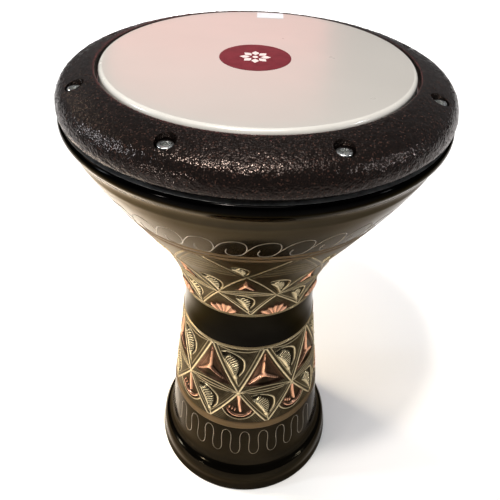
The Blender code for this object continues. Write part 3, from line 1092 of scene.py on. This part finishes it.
def add_studio():
    """A pale floor, large soft lights over and behind the drum, and small ones for highlights."""
    n = Nodes("floor")
    n.link(n.ramp(n.noise(3.0, 2.0), [(0.3, (0.90, 0.90, 0.895)), (0.7, (0.93, 0.93, 0.925))]),
           n.shader.inputs["Base Color"])
    n.set(Roughness=0.7)
    half = 4.0
    corners = [(-half, -half, 0.0), (half, -half, 0.0), (half, half, 0.0), (-half, half, 0.0)]
    new_piece("floor", corners, [[0, 1, 2, 3]], [n.material])
    world_light = bpy.data.worlds.new("studio")
    world_light.use_nodes = True
    back = world_light.node_tree.nodes["Background"]
    back.inputs["Color"].default_value = (0.95, 0.97, 1.0, 1.0)
    back.inputs["Strength"].default_value = 0.18
    bpy.context.scene.world = world_light
    add_light("top", (0.0, -0.5, 2.7), (0.0, -0.1, 0.0), (1.1, 1.1), 23.0, (1.0, 0.99, 0.97))
    add_light("backdrop", (0.0, 1.9, 2.2), (0.0, 1.75, 0.0), (3.0, 1.2), 42.0, (1.0, 1.0, 1.0), 80.0)
    add_light("key", (-0.20, -0.40, 1.55), (0.0, -0.05, 0.4), (0.09, 0.09), 12.0, (1.0, 0.93, 0.86))
    add_light("low", (-0.90, -0.90, 0.42), (0.0, 0.0, 0.1), (0.06, 0.06), 2.2, (1.0, 0.96, 0.92))
    add_light("left", (-0.95, -0.10, 0.80), (0.0, 0.0, 0.3), (0.06, 0.20), 2.6, (0.82, 0.91, 1.0))
    add_light("side", (-0.95, 0.40, 0.95), (-0.38, 0.08, 0.0), (0.4, 0.4), 3.4,
              (1.0, 0.83, 0.62), 42.0)
    add_light("fill", (1.1, -0.35, 0.9), (0.1, 0.0, 0.40), (0.10, 0.10), 2.6, (0.88, 0.94, 1.0))
    add_light("back", (-0.15, 1.5, 0.95), (0.0, 0.0, 0.44), (0.8, 0.35), 1.5, (1.0, 0.26, 0.24))
    bpy.context.scene.view_settings.view_transform = "Standard"


# -------------------- assembly
def replace(piece, body, node):
    """Puts a piece on a body in place of a CAD node, and hides the node."""
    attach(piece, body)
    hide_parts(node)


def dress(node, material):
    """Gives a CAD node that keeps its shape a better material."""
    for slot in frame["nodes"][node].material_slots:
        slot.material = material


def main():
    bronze = lacquered("bronze_lacquer", (0.017, 0.0137, 0.0088), (0.040, 0.032, 0.0205), 0.15)
    satin = lacquered("satin_bronze", (0.080, 0.054, 0.029), (0.138, 0.094, 0.051), 0.42)
    dark = lacquered("dark_lacquer", (0.0065, 0.0052, 0.0034), (0.0130, 0.0105, 0.0069), 0.12)
    brass = lacquered("brass_edge", (0.20, 0.15, 0.08), (0.36, 0.28, 0.16), 0.3)
    enamel = black_enamel("black_enamel", (0.0036, 0.0032, 0.0025), (0.0063, 0.0056, 0.0044))
    bead = black_enamel("bead_enamel", (0.0018, 0.0017, 0.0017), (0.003, 0.0029, 0.0029))
    chased = chased_metal()
    casting = mottled("raw_casting", (0.10, 0.10, 0.10), (0.24, 0.24, 0.235), grain=(120.0, 4.0),
                      gloss=(300.0, 3.0, 0.45, 0.7), dents=(700.0, 3.0, 0.4, 0.0006), Metallic=0.9)
    scribed = mottled("scribed_line", (0.085, 0.066, 0.040), (0.19, 0.15, 0.092), grain=(90.0, 4.0),
                      gloss=(200.0, 3.0, 0.3, 0.5), Metallic=0.6, Coat_Weight=0.4,
                      Coat_Roughness=0.1)
    film = mottled("head_film", (0.445, 0.430, 0.400), (0.475, 0.458, 0.427), grain=(9.0, 3.0),
                   gloss=(40.0, 4.0, 0.24, 0.36), dents=(420.0, 3.0, 0.06, 0.0003),
                   Coat_Weight=0.25, Coat_Roughness=0.18)
    # A lighter, glossier copy of the film for its rounded edge: a painted highlight.
    film_edge_highlight = mottled("film_edge_highlight", (0.60, 0.585, 0.545), (0.66, 0.645, 0.60), grain=(60.0, 3.0),
                        gloss=(90.0, 3.0, 0.2, 0.32), Coat_Weight=0.4, Coat_Roughness=0.1)
    bright = steel("bright_steel", (0.55, 0.56, 0.55), (0.82, 0.83, 0.81), 0.24)
    plain = steel("plain_aluminium", (0.32, 0.32, 0.32), (0.5, 0.5, 0.5), 0.4)

    body = make_body([bronze, enamel, satin, dark, casting, brass, bead])
    upper = panel("upper_panel", UPPER_PANEL, UPPER_SECTORS, UPPER_PHASE, upper_relief, chased, 3)
    lower = panel("lower_panel", LOWER_PANEL, LOWER_SECTORS, LOWER_PHASE, lower_relief, chased, 5)
    scrolls = wires("scroll_lines", scroll_paths(), scribed, 0.5, 0.18)
    waves = wires("wave_line", wave_paths(), scribed, 0.55, 0.18)
    for piece in (body, upper, lower, scrolls, waves):
        replace(piece, BODY, "shell")

    replace(make_ring(hammered_paint()), RING, "tuning_ring")
    head = make_head(film, film_edge_highlight)
    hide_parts("drum_head")
    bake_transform(head)

    ink = printed("badge_ink", (0.115, 0.006, 0.014), (0.155, 0.010, 0.020))
    pale = printed("badge_pale", (0.72, 0.62, 0.60), (0.80, 0.70, 0.68))
    for piece in make_badge(ink, pale):
        replace(piece, BODY, "head_badge")
    tape = printed("label_film", (0.66, 0.69, 0.73), (0.74, 0.77, 0.80))
    replace(make_label(tape), BODY, "head_label")

    for number in range(1, BOLTS + 1):
        replace(make_bolt(number, bright), f"bolt_{number}", f"tuning_bolt_{number}")
        replace(make_washer(number, plain), RING, f"bolt_washer_{number}")
        dress(f"threaded_insert_{number}", brass)
    dress("flesh_hoop", plain)

    add_camera()
    add_studio()


main()
